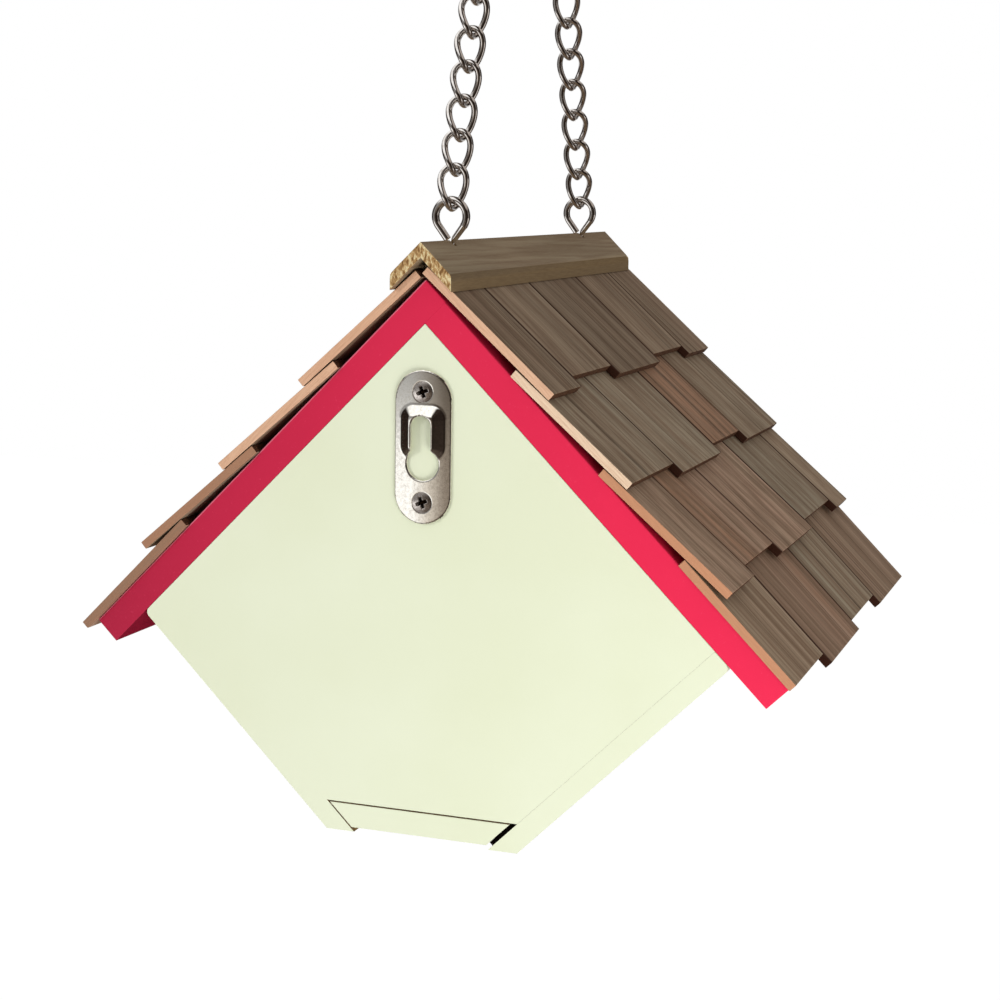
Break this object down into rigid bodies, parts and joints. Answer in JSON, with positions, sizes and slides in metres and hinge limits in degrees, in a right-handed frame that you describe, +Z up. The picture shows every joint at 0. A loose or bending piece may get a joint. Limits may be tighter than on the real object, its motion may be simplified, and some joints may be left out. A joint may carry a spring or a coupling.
{
  "type": "wren birdhouse",
  "caption": "Hanging wooden wren birdhouse on its corner, with a shingled roof, a slide-out floor, a chain with an S-hook and a keyhole hanger.",
  "frame": {"origin": "inside the top of the S-hook's upper bow, where the hook hangs on its support", "axes": "+Z up along the hanging line, +Y towards the back, which carries the keyhole plate; the entrance faces -Y"},
  "size_m": [0.2322, 0.1875, 0.4293],
  "materials": {
    "wire_steel": "bright plated steel wire",
    "nickel_plate": "nickel-plated pressed steel",
    "screw_steel": "plated screw steel",
    "brad_steel": "plain drawn steel",
    "red_paint": "satin red paint on wood",
    "cream_paint": "satin cream paint on wood",
    "cedar": "bare cedar, sawn",
    "ridge_wood": "bare softwood, planed"
  },
  "bodies": {
    "s_hook": {"s_hook": "wire_steel"},
    "top_links": {"top_links": "wire_steel"},
    "chain": {"chain_back": "wire_steel", "chain_front": "wire_steel"},
    "house": {"screw_eye_back": "wire_steel", "screw_eye_front": "wire_steel", "ridge_cap": "ridge_wood", "roof_board_left": "red_paint", "roof_board_right": "red_paint", "shingles_left_1": "cedar", "shingles_left_2": "cedar", "shingles_left_3": "cedar", "shingles_left_4": "cedar", "shingles_right_1": "cedar", "shingles_right_2": "cedar", "shingles_right_3": "cedar", "shingles_right_4": "cedar", "back_panel": "cream_paint", "front_panel": "cream_paint", "wall_left": "cream_paint", "wall_right": "cream_paint", "keyhole_plate": "nickel_plate", "plate_screws": "screw_steel", "roof_brads": "brad_steel", "wall_brads": "brad_steel"},
    "floor": {"floor_board": "cream_paint"}
  },
  "joints": [
    {"name": "fore_aft_rock", "type": "hinge", "parent": "s_hook", "child": "top_links", "pos_m": [0, 0, -0.0255], "axis": [1, 0, 0], "range_deg": [-30, 30]},
    {"name": "side_swing", "type": "hinge", "parent": "top_links", "child": "chain", "pos_m": [0, 0, -0.04183], "axis": [0, 1, 0], "range_deg": [-40, 40]},
    {"name": "house_sway", "type": "hinge", "parent": "chain", "child": "house", "pos_m": [0, 0, -0.23878], "axis": [0, 1, 0], "range_deg": [-45, 45]},
    {"name": "floor_slide", "type": "slide", "parent": "house", "child": "floor", "axis": [0, 1, 0], "range_m": [0, 0.148]}
  ]
}
